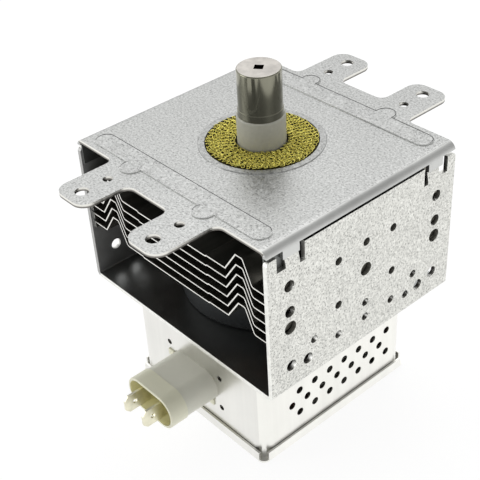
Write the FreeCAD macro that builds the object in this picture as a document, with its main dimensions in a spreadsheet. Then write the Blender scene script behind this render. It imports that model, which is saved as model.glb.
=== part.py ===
import FreeCAD, Part
import math
import os
import Sketcher

# Driving sizes in millimetres, and angles in degrees. They go into the spreadsheet,
# and every sub-part is bound to those cells. Z is up, X runs from wall to wall,
# Y runs along the air flow. The origin is the middle of the four fixing holes,
# on the top face of the fixing plate.
SIZES = {
    # Fixing plate
    "plate_thickness": 1.2,
    "plate_length": 74.4,
    "plate_bend_radius": 2.9,
    "ear_hole_spacing_across": 32.0,
    "ear_hole_spacing_along": 106.0,
    "ear_hole_diameter": 4.2,
    "pilot_hole_spacing_along": 88.4,
    "pilot_hole_diameter": 3.0,
    "ear_end_margin": 5.0,
    "ear_inner_edge": 9.1,
    "ear_outer_edge": 23.0,
    "ear_root_depth": 42.1,
    "ear_tip_radius": 4.3,
    "ear_root_radius": 2.8,
    "ear_shoulder_radius": 2.6,
    "flange_depth": 2.2,
    "hook_depth": 4.9,
    "hook_inner_edge": 25.6,
    "hook_outer_edge": 31.6,
    "bead_height": 0.35,
    "bead_end_margin": 4.75,
    "bead_inner_edge": 28.6,
    "bead_outer_edge": 35.2,
    "bead_end_radius": 3.2,
    "bead_lobe_radius": 3.4,
    "bead_lobe_offset": 35.9,
    "collar_radius": 19.0,
    "collar_height": 0.25,
    "collar_chamfer": 0.2,
    # Yoke frame
    "frame_width": 83.5,
    "frame_length": 74.8,
    "frame_thickness": 1.4,
    "frame_depth": 51.75,
    "frame_bend_radius": 1.9,
    "wall_middle_gap": 0.75,
    "wall_end_drop": 3.2,
    "slot_inner_edge": 23.8,
    "slot_drop": 8.9,
    "notch_inner_edge": 30.6,
    "notch_outer_edge": 33.9,
    "notch_drop": 8.1,
    "tongue_set_in": 0.7,
    "stem_hole_radius": 12.0,
    # Wall holes: one diameter for each size of punch
    "large_hole_diameter": 4.3,
    "medium_hole_diameter": 3.6,
    "small_hole_diameter": 2.6,
    "outer_hole_offset": 29.7,
    "second_hole_offset": 23.3,
    "third_hole_offset": 20.8,
    "inner_hole_offset": 11.1,
    "odd_hole_offset": 17.7,
    # Wall holes: how far each one lies below the plate, from the top of its column
    "outer_hole_drop_1": 14.5,
    "outer_hole_drop_2": 23.2,
    "outer_hole_drop_3": 28.8,
    "outer_hole_drop_4": 42.5,
    "second_hole_drop": 43.9,
    "third_hole_drop": 38.4,
    "inner_hole_drop_1": 16.4,
    "inner_hole_drop_2": 31.7,
    "inner_hole_drop_3": 42.6,
    "middle_hole_drop_1": 15.6,
    "middle_hole_drop_2": 25.1,
    "middle_hole_drop_3": 37.2,
    "middle_hole_drop_4": 42.6,
    "odd_hole_drop": 44.5,
    # Radio-frequency gasket and antenna
    "gasket_radius": 16.75,
    "gasket_bore_radius": 7.6,
    "gasket_proud": 0.2,
    "gasket_clearance": 0.2,
    "cap_radius": 6.55,
    "cap_top": 23.65,
    "cap_bottom": 9.2,
    "cap_wall": 0.5,
    "cap_edge_radius": 0.45,
    "cap_lip_height": 2.0,
    "cap_lip_flare": 0.2,
    "cap_hole_side": 2.7,
    "cap_hole_turn": 38.0,
    "ceramic_radius": 7.25,
    "ceramic_bore_radius": 5.4,
    "ceramic_edge_radius": 0.4,
    "exhaust_tube_radius": 2.2,
    "exhaust_tube_bottom": 5.0,
    "exhaust_tube_top": 16.0,
    "pinch_height": 4.0,
    "pinch_base_half_side": 1.55,
    "pinch_thickness": 0.8,
    "lead_radius": 1.1,
    "lead_offset": 7.0,
    # Magnets
    "magnet_radius": 27.5,
    "magnet_bore_radius": 10.4,
    "magnet_thickness": 12.0,
    "magnet_edge_chamfer": 0.6,
    # Vacuum tube
    "cup_radius": 9.6,
    "cup_wall": 0.5,
    "cup_top_drop": 1.5,
    "stem_cup_drop": 46.0,
    "anode_radius": 19.6,
    "anode_wall": 2.0,
    "pole_seat": 0.9,
    "pole_thickness": 1.6,
    "pole_cone_start": 12.0,
    "pole_cone_end": 6.4,
    "pole_cone_depth": 3.4,
    "pole_bore_radius": 4.9,
    "lead_hole_radius": 2.2,
    "vane_count": 10,
    "vane_thickness": 1.9,
    "vane_height": 9.5,
    "vane_inner_radius": 4.5,
    "inner_strap_radius": 9.0,
    "outer_strap_radius": 10.8,
    "strap_width": 0.7,
    "strap_depth": 1.2,
    "strap_clearance": 0.15,
    "filament_radius": 1.9,
    "filament_wire_radius": 0.3,
    "filament_pitch": 1.5,
    "end_hat_radius": 3.6,
    "end_hat_thickness": 1.5,
    "cathode_lead_radius": 0.75,
    "cathode_lead_clearance": 0.15,
    "side_lead_offset": 2.7,
    "stem_ceramic_drop": 58.5,
    "stem_plate_thickness": 0.8,
    "stem_plate_half_width": 8.2,
    "stem_plate_gap": 1.0,
    # Cooling fins
    "fin_count": 6,
    "fin_top_drop": 14.2,
    "fin_pitch": 3.3,
    "fin_thickness": 0.4,
    "fin_length": 72.8,
    "fin_wall_clearance": 0.15,
    "fin_edge_depth": 2.4,
    "fin_fit": 0.05,
    "fin_collar_height": 1.4,
    "fin_collar_wall": 0.5,
    "fin_step_offset": 15.3,
    "fin_step_rise": 0.35,
    "fin_step_run": 0.6,
    "fin_right_fold": 23.7,
    "fin_left_fold": 33.7,
    "fin_hump_rise": 6.9,
    "fin_gentle_run": 4.7,
    "fin_hump_flat": 2.9,
    "fin_steep_run": 3.4,
    "fin_wing_offset": 0.7,
    "fin_fold_radius": 1.0,
    "fin_foot_radius": 1.4,
    "fin_magnet_clearance": 0.8,
    # Filter box
    "box_half_across": 30.15,
    "box_half_along": 31.75,
    "box_depth": 36.85,
    "box_sheet": 0.5,
    "box_corner_radius": 4.6,
    "vent_diameter": 2.6,
    "vent_pitch": 6.56,
    "vent_row_pitch": 4.56,
    "vent_top_row_drop": 69.4,
    "vent_start": 15.9,
    "vent_rows": 3,
    "vent_columns": 7,
    "lid_sheet": 0.7,
    "lid_clearance": 0.15,
    "lid_rim_height": 3.6,
    "lid_corner_gap": 2.2,
    # Feed-through capacitor
    "capacitor_offset": -1.15,
    "capacitor_drop": 73.1,
    "boot_half_width": 11.05,
    "boot_half_height": 5.95,
    "boot_corner_radius": 5.8,
    "boot_wall": 0.9,
    "boot_length": 18.4,
    "boot_collar_length": 6.2,
    "boot_collar_step": 0.3,
    "boot_rim_radius": 0.35,
    "boot_fit": 0.1,
    "socket_depth": 12.0,
    "capacitor_body_length": 14.0,
    "capacitor_margin": 1.6,
    "flange_plate_half_width": 11.0,
    "flange_plate_half_height": 6.0,
    "flange_plate_thickness": 1.0,
    "rivet_spacing_half_width": 12.25,
    "rivet_spacing_half_height": 6.2,
    "rivet_hole_diameter": 2.0,
    "tab_spacing": 9.0,
    "tab_width": 6.35,
    "tab_thickness": 0.8,
    "tab_proud": 6.3,
    "tab_tip_chamfer": 1.4,
    "tab_hole_diameter": 1.7,
    "tab_hole_setback": 3.7,
    # Choke coils
    "coil_offset": 8.0,
    "coil_radius": 3.2,
    "coil_wire_radius": 0.6,
    "coil_pitch": 2.0,
    "coil_turns": 8,
    "coil_front": 9.0,
    "ferrite_radius": 2.4,
    "ferrite_length": 20.0,
}

doc = FreeCAD.newDocument("Magnetron")
sheet = doc.addObject("Spreadsheet::Sheet", "Sizes")
for row, (alias, number) in enumerate(SIZES.items(), start=1):
    sheet.set(f"A{row}", alias)
    sheet.set(f"B{row}", str(number))
    sheet.setAlias(f"B{row}", alias)
doc.recompute()

UP = FreeCAD.Vector(0, 0, 1)
ALONG = FreeCAD.Vector(0, 1, 0)
ACROSS = FreeCAD.Vector(1, 0, 0)
SIDES = (-1, 1)
pieces = {}


class Size:
    """A number together with the expression that works it out from the sheet."""

    def __init__(self, value, text):
        self.value = value
        self.text = text

    def __add__(self, other):
        other = as_size(other)
        return Size(self.value + other.value, f"({self.text} + {other.text})")

    def __sub__(self, other):
        other = as_size(other)
        return Size(self.value - other.value, f"({self.text} - {other.text})")

    def __mul__(self, other):
        other = as_size(other)
        return Size(self.value * other.value, f"({self.text} * {other.text})")

    def __truediv__(self, other):
        other = as_size(other)
        return Size(self.value / other.value, f"({self.text} / {other.text})")

    def __neg__(self):
        return self * -1

    def __radd__(self, other):
        return as_size(other) + self

    def __rsub__(self, other):
        return as_size(other) - self

    def __rmul__(self, other):
        return as_size(other) * self


def as_size(number):
    if isinstance(number, Size):
        return number
    return Size(number, f"({number})")


def size(alias):
    return Size(SIZES[alias], f"Sizes.{alias}")


def root(number):
    return Size(math.sqrt(number.value), f"sqrt({number.text})")


def bind(item, prop, number):
    """Ties one property of a document object to the sheet."""
    item.setExpression(prop, as_size(number).text)


def finish(label, item):
    """Gives a sub-part its name and keeps it for export."""
    item.Label = label
    pieces[label] = item
    return item


# Sketches and features


def new_body(label):
    return finish(label, doc.addObject("PartDesign::Body", label + "_body"))


def new_sketch(body, plane, offset=0):
    """A sketch on one of the body's own planes, moved along the plane's normal."""
    support = [item for item in body.Origin.OriginFeatures if item.Role == plane][0]
    sketch = body.newObject("Sketcher::SketchObject", f"{body.Name}_sketch")
    sketch.AttachmentSupport = [(support, "")]
    sketch.MapMode = "FlatFace"
    bind(sketch, ".AttachmentOffset.Base.z", offset)
    return sketch


def pin(sketch, edge, end, x, y):
    """Holds a point of a sketch at coordinates worked out from the sheet."""
    for kind, number in (("DistanceX", as_size(x)), ("DistanceY", as_size(y))):
        constraint = Sketcher.Constraint(kind, -1, 1, edge, end, number.value)
        index = sketch.addConstraint(constraint)
        sketch.setExpression(f"Constraints[{index}]", number.text)


def add_loop(sketch, corners):
    """A closed outline of straight edges."""
    corners = [(as_size(x), as_size(y)) for x, y in corners]
    first = sketch.GeometryCount
    count = len(corners)
    for index, (x, y) in enumerate(corners):
        next_x, next_y = corners[(index + 1) % count]
        start = FreeCAD.Vector(x.value, y.value, 0)
        end = FreeCAD.Vector(next_x.value, next_y.value, 0)
        sketch.addGeometry(Part.LineSegment(start, end), False)
    for index in range(count):
        following = first + (index + 1) % count
        sketch.addConstraint(Sketcher.Constraint("Coincident", first + index, 2, following, 1))
    for index, (x, y) in enumerate(corners):
        pin(sketch, first + index, 1, x, y)


def add_box(sketch, x_low, x_high, y_low, y_high):
    add_loop(sketch, [(x_low, y_low), (x_high, y_low), (x_high, y_high), (x_low, y_high)])


def add_circle(sketch, x, y, radius):
    x, y, radius = as_size(x), as_size(y), as_size(radius)
    centre = FreeCAD.Vector(x.value, y.value, 0)
    edge = sketch.addGeometry(Part.Circle(centre, FreeCAD.Vector(0, 0, 1), radius.value), False)
    index = sketch.addConstraint(Sketcher.Constraint("Radius", edge, radius.value))
    sketch.setExpression(f"Constraints[{index}]", radius.text)
    pin(sketch, edge, 3, x, y)


def pad(body, sketch, length, reverse=False, symmetric=False):
    feature = body.newObject("PartDesign::Pad", f"{body.Name}_pad")
    feature.Profile = sketch
    feature.Reversed = reverse
    feature.SideType = "Symmetric" if symmetric else "One side"
    bind(feature, "Length", length)
    doc.recompute()
    return feature


def pocket(body, sketch, length=None, reverse=False, symmetric=False):
    """Cuts a sketch out of the body, through everything when no length is given."""
    before = body.Shape.Volume
    feature = body.newObject("PartDesign::Pocket", f"{body.Name}_pocket")
    feature.Profile = sketch
    feature.Reversed = reverse
    feature.SideType = "Symmetric" if symmetric else "One side"
    if length is None:
        feature.Type = "ThroughAll"
    else:
        bind(feature, "Length", length)
    doc.recompute()
    if body.Shape.Volume >= before:
        raise RuntimeError(f"{feature.Name} cuts nothing")
    return feature


def revolve(body, corners):
    """Turns an outline of (radius, height) points about the Z axis."""
    sketch = new_sketch(body, "XZ_Plane")
    add_loop(sketch, corners)
    feature = body.newObject("PartDesign::Revolution", f"{body.Name}_turned")
    feature.Profile = sketch
    feature.ReferenceAxis = (sketch, ["V_Axis"])
    feature.Angle = 360
    doc.recompute()
    return feature


def straight_edges(feature, direction, places):
    """Names of the edges along a direction that pass through the given places.

    Each place has one coordinate for each of the other two axes, in X, Y, Z order.
    """
    kept = [axis for axis in (0, 1, 2) if abs(direction[axis]) < 0.5]
    targets = [tuple(as_size(number).value for number in place) for place in places]
    names = []
    for index, edge in enumerate(feature.Shape.Edges, start=1):
        if edge.Curve.TypeId != "Part::GeomLine":
            continue
        if abs(edge.Curve.Direction.dot(direction)) < 0.999:
            continue
        middle = edge.CenterOfMass
        here = tuple(middle[axis] for axis in kept)
        if any(math.dist(here, target) < 0.02 for target in targets):
            names.append(f"Edge{index}")
    if not names:
        raise RuntimeError(f"no edge found on {feature.Name}")
    return names


def round_edges(feature, height, radius):
    """Names of the circular edges of one radius at one height."""
    height, radius = as_size(height).value, as_size(radius).value
    names = []
    for index, edge in enumerate(feature.Shape.Edges, start=1):
        if edge.Curve.TypeId != "Part::GeomCircle":
            continue
        if abs(edge.Curve.Radius - radius) > 0.01:
            continue
        if abs(edge.Curve.Center.z - height) < 0.01:
            names.append(f"Edge{index}")
    if not names:
        raise RuntimeError(f"no round edge found on {feature.Name}")
    return names


def fillet(body, names, radius):
    base = body.Tip
    feature = body.newObject("PartDesign::Fillet", f"{body.Name}_fillet")
    feature.Base = (base, names)
    bind(feature, "Radius", radius)
    doc.recompute()
    return feature


def chamfer(body, names, length):
    base = body.Tip
    feature = body.newObject("PartDesign::Chamfer", f"{body.Name}_chamfer")
    feature.Base = (base, names)
    bind(feature, "Size", length)
    doc.recompute()
    return feature


def corners_of(x, y):
    """The four corners of a centred rectangle."""
    return [(x * side, y * end) for side in SIDES for end in SIDES]


def cylinder(radius, bottom, height, x=0, y=0):
    item = doc.addObject("Part::Cylinder", "cylinder")
    bind(item, "Radius", radius)
    bind(item, "Height", height)
    bind(item, "Placement.Base.x", x)
    bind(item, "Placement.Base.y", y)
    bind(item, "Placement.Base.z", bottom)
    return item


def rod_along_y(radius, front, length, x, z):
    """A round rod that runs towards the back from its front end."""
    item = doc.addObject("Part::Cylinder", "rod")
    item.Placement.Rotation = FreeCAD.Rotation(ACROSS, -90)
    bind(item, "Radius", radius)
    bind(item, "Height", length)
    bind(item, "Placement.Base.x", x)
    bind(item, "Placement.Base.y", front)
    bind(item, "Placement.Base.z", z)
    return item


def tube(label, outer, inner, bottom, height):
    item = doc.addObject("Part::Cut", "tube")
    item.Base = cylinder(outer, bottom, height)
    item.Tool = cylinder(inner, bottom, height)
    return finish(label, item)


def drilled(blank, holes):
    """A blank with upright holes, each given as (radius, x, y), right through it."""
    result = blank
    for radius, x, y in holes:
        drill = doc.addObject("Part::Cylinder", "drill")
        bind(drill, "Radius", radius)
        drill.setExpression("Height", f"{blank.Name}.Height")
        drill.setExpression("Placement.Base.z", f"{blank.Name}.Placement.Base.z")
        bind(drill, "Placement.Base.x", x)
        bind(drill, "Placement.Base.y", y)
        cut = doc.addObject("Part::Cut", "drilled")
        cut.Base = result
        cut.Tool = drill
        result = cut
    return result


# Places that several sub-parts share

plate_thickness = size("plate_thickness")
half_width = size("frame_width") / 2
half_plate = size("plate_length") / 2
half_frame = size("frame_length") / 2
ear_tip = size("ear_hole_spacing_along") / 2 + size("ear_end_margin")
floor_under = -size("frame_depth")
floor_top = floor_under + size("frame_thickness")
wall_inside = half_width - size("frame_thickness")
upper_magnet_bottom = -plate_thickness - size("magnet_thickness")
lower_magnet_top = floor_top + size("magnet_thickness")
anode_top = upper_magnet_bottom - size("cup_wall")
anode_bottom = lower_magnet_top + size("cup_wall")
anode_middle = (anode_top + anode_bottom) / 2
anode_bore = size("anode_radius") - size("anode_wall")
pole_seat_radius = anode_bore + size("pole_seat")
ceramic_bottom = -size("cup_top_drop")
stem_cup_bottom = -size("stem_cup_drop")
stem_bottom = -size("stem_ceramic_drop")
filament_half = size("vane_height") / 2
box_bottom = floor_under - size("box_depth")
box_front = -size("box_half_along")
box_inside_front = box_front + size("box_sheet")
capacitor_x = size("capacitor_offset")
capacitor_z = -size("capacitor_drop")
boot_mouth = box_front - size("boot_length")
socket_floor = boot_mouth + size("socket_depth")
capacitor_back = box_inside_front + size("flange_plate_thickness") + size("capacitor_body_length")
throat_x = size("boot_half_width") - size("capacitor_margin")
throat_z = size("boot_half_height") - size("capacitor_margin")


def make_fixing_plate():
    """Top plate: a shallow channel with four ears, hooks on its flanges and two beads."""
    body = new_body("yoke_top")
    profile = new_sketch(body, "XZ_Plane")
    low = -size("hook_depth")
    inside = half_width - plate_thickness
    add_loop(profile, [
        (-half_width, low), (-half_width, 0), (half_width, 0), (half_width, low),
        (inside, low), (inside, -plate_thickness), (-inside, -plate_thickness), (-inside, low),
    ])
    channel = pad(body, profile, size("plate_length"), symmetric=True)
    outer = [(half_width * side, 0) for side in SIDES]
    inner = [(inside * side, -plate_thickness) for side in SIDES]
    fillet(body, straight_edges(channel, ALONG, outer), size("plate_bend_radius"))
    fillet(body, straight_edges(body.Tip, ALONG, inner),
           size("plate_bend_radius") - plate_thickness)

    ears = new_sketch(body, "XY_Plane")
    near, far = size("ear_inner_edge"), size("ear_outer_edge")
    start = size("bead_outer_edge")
    for end in SIDES:
        add_loop(ears, [
            (-far, start * end), (-far, ear_tip * end), (-near, ear_tip * end),
            (-near, size("ear_root_depth") * end), (near, size("ear_root_depth") * end),
            (near, ear_tip * end), (far, ear_tip * end), (far, start * end),
        ])
    pad(body, ears, plate_thickness, reverse=True)
    tips = corners_of(near, ear_tip) + corners_of(far, ear_tip)
    fillet(body, straight_edges(body.Tip, UP, tips), size("ear_tip_radius"))
    roots = corners_of(near, size("ear_root_depth"))
    fillet(body, straight_edges(body.Tip, UP, roots), size("ear_root_radius"))
    shoulders = corners_of(far, half_plate)
    fillet(body, straight_edges(body.Tip, UP, shoulders), size("ear_shoulder_radius"))

    beads = new_sketch(body, "XY_Plane")
    bead_x = half_width - size("bead_end_margin")
    for end in SIDES:
        add_box(beads, -bead_x, bead_x, size("bead_inner_edge") * end,
                size("bead_outer_edge") * end)
    pad(body, beads, size("bead_height"))
    rounded = corners_of(bead_x, size("bead_inner_edge")) + corners_of(bead_x, size("bead_outer_edge"))
    fillet(body, straight_edges(body.Tip, UP, rounded), size("bead_end_radius"))
    lobes = new_sketch(body, "XY_Plane")
    for x, y in corners_of(size("ear_hole_spacing_across") / 2, size("bead_lobe_offset")):
        add_circle(lobes, x, y, size("bead_lobe_radius"))
    pad(body, lobes, size("bead_height"))

    collar = new_sketch(body, "XY_Plane")
    add_circle(collar, 0, 0, size("collar_radius"))
    pad(body, collar, size("collar_height"))
    chamfer(body, round_edges(body.Tip, size("collar_height"), size("collar_radius")),
            size("collar_chamfer"))

    holes = new_sketch(body, "XY_Plane", size("bead_height"))
    half_across = size("ear_hole_spacing_across") / 2
    for x, y in corners_of(half_across, size("ear_hole_spacing_along") / 2):
        add_circle(holes, x, y, size("ear_hole_diameter") / 2)
    for x, y in corners_of(half_across, size("pilot_hole_spacing_along") / 2):
        add_circle(holes, x, y, size("pilot_hole_diameter") / 2)
    add_circle(holes, 0, 0, size("gasket_radius") + size("gasket_clearance"))
    pocket(body, holes)

    edges = new_sketch(body, "YZ_Plane")
    below = low * 2
    add_box(edges, -size("hook_inner_edge"), size("hook_inner_edge"), below, -size("flange_depth"))
    for end in SIDES:
        add_box(edges, size("hook_outer_edge") * end, ear_tip * end, below, -size("flange_depth"))
    pocket(body, edges, size("frame_width") * 2, symmetric=True)


def wall_holes():
    """Places and diameters of the holes in a side wall, as (y, z, diameter)."""
    large = size("large_hole_diameter")
    medium = size("medium_hole_diameter")
    small = size("small_hole_diameter")
    paired = [
        ("outer_hole_offset", "outer_hole_drop_1", medium),
        ("outer_hole_offset", "outer_hole_drop_2", medium),
        ("outer_hole_offset", "outer_hole_drop_3", large),
        ("outer_hole_offset", "outer_hole_drop_4", medium),
        ("second_hole_offset", "second_hole_drop", medium),
        ("third_hole_offset", "third_hole_drop", small),
        ("inner_hole_offset", "inner_hole_drop_1", small),
        ("inner_hole_offset", "inner_hole_drop_2", small),
        ("inner_hole_offset", "inner_hole_drop_3", small),
    ]
    middle = [
        ("middle_hole_drop_1", small), ("middle_hole_drop_2", large),
        ("middle_hole_drop_3", small), ("middle_hole_drop_4", small),
    ]
    places = [(size(offset) * end, -size(drop), diameter)
              for offset, drop, diameter in paired for end in SIDES]
    places += [(0, -size(drop), diameter) for drop, diameter in middle]
    places.append((size("odd_hole_offset"), -size("odd_hole_drop"), small))
    return places


def make_yoke_frame():
    """U-shaped frame whose wall tops are slotted, notched and set in to grip the plate."""
    body = new_body("yoke_frame")
    thickness = size("frame_thickness")
    wall_top = -size("flange_depth") - size("wall_middle_gap")
    profile = new_sketch(body, "XZ_Plane")
    add_loop(profile, [
        (-half_width, wall_top), (-half_width, floor_under), (half_width, floor_under),
        (half_width, wall_top), (wall_inside, wall_top), (wall_inside, floor_top),
        (-wall_inside, floor_top), (-wall_inside, wall_top),
    ])
    channel = pad(body, profile, size("frame_length"), symmetric=True)
    outer = [(half_width * side, floor_under) for side in SIDES]
    inner = [(wall_inside * side, floor_top) for side in SIDES]
    fillet(body, straight_edges(channel, ALONG, outer), size("frame_bend_radius"))
    fillet(body, straight_edges(body.Tip, ALONG, inner), size("frame_bend_radius") - thickness)

    top = new_sketch(body, "YZ_Plane")
    tongue_top = -size("hook_depth")
    beyond = half_frame + thickness
    for end in SIDES:
        add_loop(top, [
            (size("slot_inner_edge") * end, 0), (size("slot_inner_edge") * end, -size("slot_drop")),
            (size("hook_inner_edge") * end, -size("slot_drop")),
            (size("hook_inner_edge") * end, tongue_top),
            (size("notch_inner_edge") * end, tongue_top),
            (size("notch_inner_edge") * end, -size("notch_drop")),
            (size("notch_outer_edge") * end, -size("notch_drop")),
            (size("notch_outer_edge") * end, -size("wall_end_drop")),
            (beyond * end, -size("wall_end_drop")), (beyond * end, 0),
        ])
    pocket(body, top, size("frame_width") * 2, symmetric=True)
    shoulders = [(half_frame * end, -size("wall_end_drop")) for end in SIDES]
    fillet(body, straight_edges(body.Tip, ACROSS, shoulders), thickness)

    # The tongues lean in at the top, where they are pressed under the hooks.
    lean = size("tongue_set_in")
    for front in (-size("notch_inner_edge"), size("hook_inner_edge")):
        wedge = new_sketch(body, "XZ_Plane", -front)
        for side in SIDES:
            add_loop(wedge, [
                (half_width * side, tongue_top), ((half_width - lean) * side, tongue_top),
                (half_width * side, -size("notch_drop")),
            ])
        pocket(body, wedge, size("notch_inner_edge") - size("hook_inner_edge"))

    punched = new_sketch(body, "YZ_Plane")
    for y, z, diameter in wall_holes():
        add_circle(punched, y, z, diameter / 2)
    pocket(body, punched, size("frame_width") * 2, symmetric=True)
    opening = new_sketch(body, "XY_Plane")
    add_circle(opening, 0, 0, size("stem_hole_radius"))
    pocket(body, opening)


def make_gasket():
    """Ring of knitted wire that seals the antenna to its waveguide."""
    tube("rf_gasket", size("gasket_radius"), size("gasket_bore_radius"), -plate_thickness,
         plate_thickness + size("gasket_proud"))


def make_antenna():
    """Cap, ceramic sleeve, pinched exhaust tube and the lead that feeds them."""
    body = new_body("antenna_cap")
    radius, wall = size("cap_radius"), size("cap_wall")
    lip_radius = radius + size("cap_lip_flare")
    lip_top = size("cap_bottom") + size("cap_lip_height")
    lip_start = lip_top + size("cap_lip_flare")
    revolve(body, [
        (0, size("cap_top")), (radius, size("cap_top")), (radius, lip_start),
        (lip_radius, lip_top), (lip_radius, size("cap_bottom")),
        (lip_radius - wall, size("cap_bottom")), (lip_radius - wall, lip_top),
        (radius - wall, lip_start), (radius - wall, size("cap_top") - wall),
        (0, size("cap_top") - wall),
    ])
    fillet(body, round_edges(body.Tip, size("cap_top"), radius), size("cap_edge_radius"))
    window = new_sketch(body, "XY_Plane", size("cap_top"))
    bind(window, ".AttachmentOffset.Rotation.Angle", size("cap_hole_turn"))
    half_side = size("cap_hole_side") / 2
    add_box(window, -half_side, half_side, -half_side, half_side)
    pocket(body, window, size("cap_wall") * 2)

    sleeve = new_body("antenna_ceramic")
    revolve(sleeve, [
        (size("ceramic_bore_radius"), ceramic_bottom), (size("ceramic_radius"), ceramic_bottom),
        (size("ceramic_radius"), size("cap_bottom")),
        (size("ceramic_bore_radius"), size("cap_bottom")),
    ])
    fillet(sleeve, round_edges(sleeve.Tip, size("cap_bottom"), size("ceramic_radius")),
           size("ceramic_edge_radius"))

    exhaust = new_body("exhaust_tube")
    round_part = new_sketch(exhaust, "XY_Plane", size("exhaust_tube_bottom"))
    add_circle(round_part, 0, 0, size("exhaust_tube_radius"))
    pad(exhaust, round_part, size("exhaust_tube_top") - size("exhaust_tube_bottom"))
    square = size("pinch_base_half_side")
    pinch_base = new_sketch(exhaust, "XY_Plane", size("exhaust_tube_top"))
    add_box(pinch_base, -square, square, -square, square)
    pinch_tip = new_sketch(exhaust, "XY_Plane", size("exhaust_tube_top") + size("pinch_height"))
    thin, wide = size("pinch_thickness") / 2, size("exhaust_tube_radius")
    add_box(pinch_tip, -wide, wide, -thin, thin)
    loft = exhaust.newObject("PartDesign::AdditiveLoft", "exhaust_pinch")
    loft.Profile = pinch_base
    loft.Sections = [pinch_tip]
    doc.recompute()

    lead = new_body("antenna_lead")
    vane_top = anode_middle + size("vane_height") / 2
    bend_low = anode_top + size("lead_radius")
    bend_high = ceramic_bottom - size("lead_radius") * 2
    path = new_sketch(lead, "XZ_Plane")
    route = [
        (size("lead_offset"), vane_top), (size("lead_offset"), bend_low),
        (as_size(0), bend_high), (as_size(0), size("exhaust_tube_bottom")),
    ]
    for index in range(3):
        start, end = route[index], route[index + 1]
        path.addGeometry(Part.LineSegment(
            FreeCAD.Vector(start[0].value, start[1].value, 0),
            FreeCAD.Vector(end[0].value, end[1].value, 0)), False)
        pin(path, index, 1, *start)
    for index in range(2):
        path.addConstraint(Sketcher.Constraint("Coincident", index, 2, index + 1, 1))
    pin(path, 2, 2, *route[3])
    section = new_sketch(lead, "XY_Plane", vane_top)
    add_circle(section, size("lead_offset"), 0, size("lead_radius"))
    pipe = lead.newObject("PartDesign::AdditivePipe", "lead_pipe")
    pipe.Profile = section
    pipe.Spine = (path, [])
    pipe.Transition = "Round corner"
    doc.recompute()


def make_magnets():
    """Two ferrite rings, one under the plate and one on the floor of the frame."""
    for label, bottom in (("upper_magnet", upper_magnet_bottom), ("lower_magnet", floor_top)):
        body = new_body(label)
        top = bottom + size("magnet_thickness")
        revolve(body, [
            (size("magnet_bore_radius"), bottom), (size("magnet_radius"), bottom),
            (size("magnet_radius"), top), (size("magnet_bore_radius"), top),
        ])
        rims = round_edges(body.Tip, top, size("magnet_radius"))
        rims += round_edges(body.Tip, bottom, size("magnet_radius"))
        chamfer(body, rims, size("magnet_edge_chamfer"))


def make_seal_cups():
    """Thin metal cups that join the anode to the antenna sleeve and to the stem."""
    flange, radius = size("anode_radius"), size("cup_radius")
    inside = radius - size("cup_wall")
    wall = size("cup_wall")
    revolve(new_body("upper_seal_cup"), [
        (flange, upper_magnet_bottom), (flange, anode_top), (inside, anode_top),
        (inside, ceramic_bottom - wall), (size("ceramic_bore_radius"), ceramic_bottom - wall),
        (size("ceramic_bore_radius"), ceramic_bottom), (radius, ceramic_bottom),
        (radius, upper_magnet_bottom),
    ])
    revolve(new_body("lower_seal_cup"), [
        (flange, lower_magnet_top), (flange, anode_bottom), (inside, anode_bottom),
        (inside, stem_cup_bottom + wall), (size("ceramic_bore_radius"), stem_cup_bottom + wall),
        (size("ceramic_bore_radius"), stem_cup_bottom), (radius, stem_cup_bottom),
        (radius, lower_magnet_top),
    ])


def make_pole_piece(label, seat, inwards):
    """Funnel that gathers the field; inwards is -1 when the cone points down."""
    body = new_body(label)
    thickness = size("pole_thickness") * inwards
    cone = size("pole_cone_depth") * inwards
    revolve(body, [
        (pole_seat_radius, seat), (size("pole_cone_start"), seat),
        (size("pole_cone_end"), seat + cone), (size("pole_bore_radius"), seat + cone),
        (size("pole_bore_radius"), seat + cone + thickness),
        (size("pole_cone_end") + size("pole_thickness") / 2, seat + cone + thickness),
        (size("pole_cone_start") + size("pole_thickness") / 2, seat + thickness),
        (pole_seat_radius, seat + thickness),
    ])
    return body


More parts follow.
